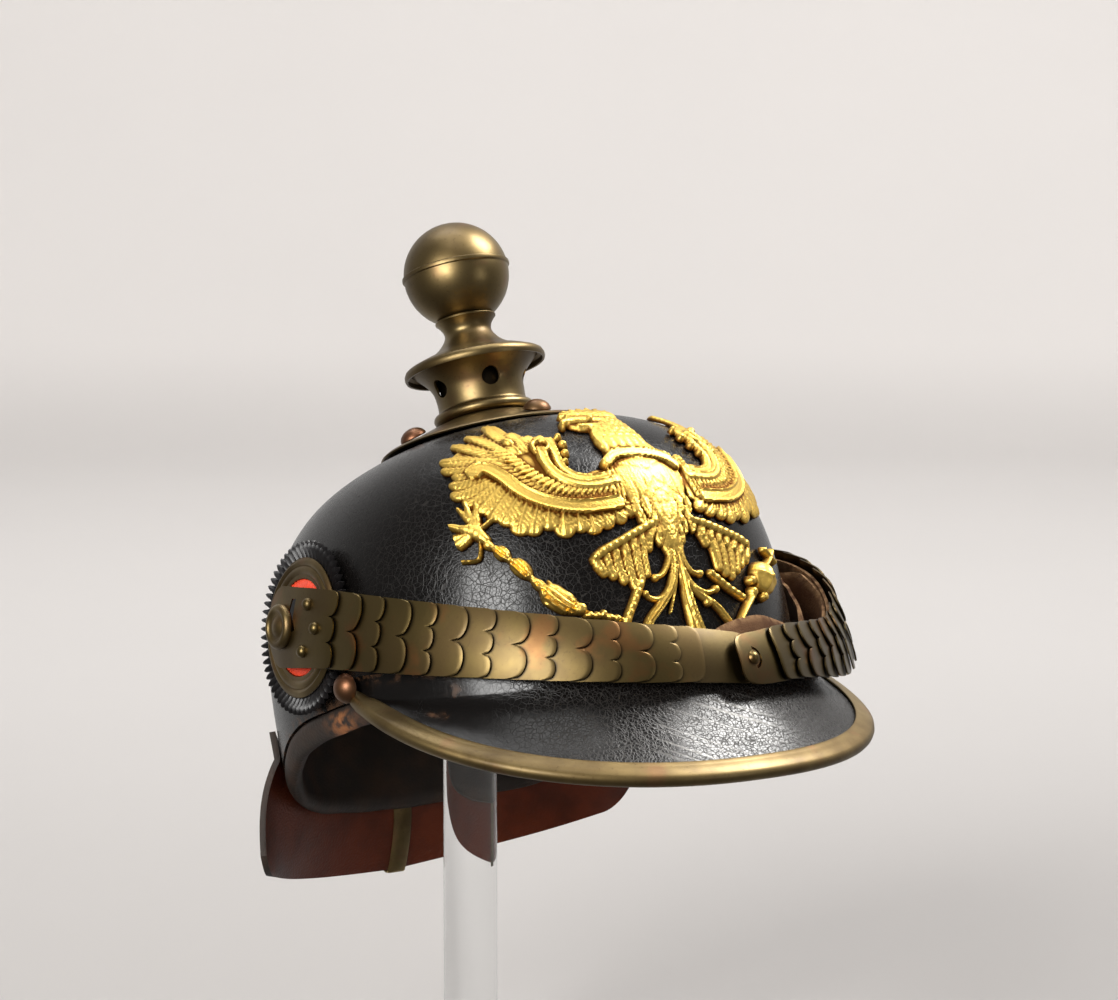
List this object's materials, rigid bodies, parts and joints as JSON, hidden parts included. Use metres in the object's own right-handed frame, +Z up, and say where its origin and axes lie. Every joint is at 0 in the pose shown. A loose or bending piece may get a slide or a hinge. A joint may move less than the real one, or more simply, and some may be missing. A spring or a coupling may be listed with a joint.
{
  "type": "pickelhaube on a display stand",
  "caption": "Ball-topped leather dress helmet with front and rear visors, brass fittings, gilt eagle plate, cockades and chin scales, held on a clear rod with a round base.",
  "frame": {"origin": "centre of the stand base's underside", "axes": "+Z up along the rod, the helmet's front towards -Y, the wearer's left towards +X"},
  "size_m": [0.2283, 0.2733, 0.3618],
  "materials": {
    "lacquered_leather": "black lacquer with fine crackle, glossy",
    "band_leather": "worn dark leather, matte",
    "aged_brass": "aged, satin",
    "copper_stud": "coppery, satin",
    "gilt_plate": "gilt, semi-gloss with darker recesses",
    "cockade_black": "black lacquer, satin",
    "cockade_red": "red paint, matte",
    "strap_leather": "rough brown suede side",
    "clear_acrylic": "clear, polished"
  },
  "bodies": {
    "root": {"skull": "lacquered_leather", "sweatband": "band_leather", "front_visor": "lacquered_leather", "rear_visor": "lacquered_leather", "front_visor_trim": "aged_brass", "trim_stud_right": "copper_stud", "trim_stud_left": "copper_stud", "rear_spine": "aged_brass", "base_plate": "aged_brass", "base_stud_front": "copper_stud", "base_stud_left": "copper_stud", "base_stud_back": "copper_stud", "base_stud_right": "copper_stud", "vent_collar": "aged_brass", "collar_cap": "aged_brass", "ball": "aged_brass", "cockade_disc_right": "cockade_black", "cockade_ring_right": "aged_brass", "cockade_centre_right": "cockade_red", "cockade_disc_left": "cockade_black", "cockade_ring_left": "aged_brass", "cockade_centre_left": "cockade_red", "end_plate_right": "aged_brass", "scale_right_01": "aged_brass", "scale_right_02": "aged_brass", "scale_right_03": "aged_brass", "scale_right_04": "aged_brass", "scale_right_05": "aged_brass", "scale_right_06": "aged_brass", "scale_right_07": "aged_brass", "scale_right_08": "aged_brass", "scale_right_09": "aged_brass", "scale_right_10": "aged_brass", "scale_right_11": "aged_brass", "scale_right_12": "aged_brass", "scale_right_13": "aged_brass", "front_plate_right": "aged_brass", "scale_post_right": "aged_brass", "strap_right": "strap_leather", "end_plate_left": "aged_brass", "scale_left_01": "aged_brass", "scale_left_02": "aged_brass", "scale_left_03": "aged_brass", "scale_left_04": "aged_brass", "scale_left_05": "aged_brass", "scale_left_06": "aged_brass", "scale_left_07": "aged_brass", "scale_left_08": "aged_brass", "scale_left_09": "aged_brass", "scale_left_10": "aged_brass", "scale_left_11": "aged_brass", "scale_left_12": "aged_brass", "scale_left_13": "aged_brass", "front_plate_left": "aged_brass", "scale_post_left": "aged_brass", "strap_left": "strap_leather", "helmet_plate": "gilt_plate", "stand_rod": "clear_acrylic", "stand_base": "clear_acrylic"}
  },
  "joints": []
}
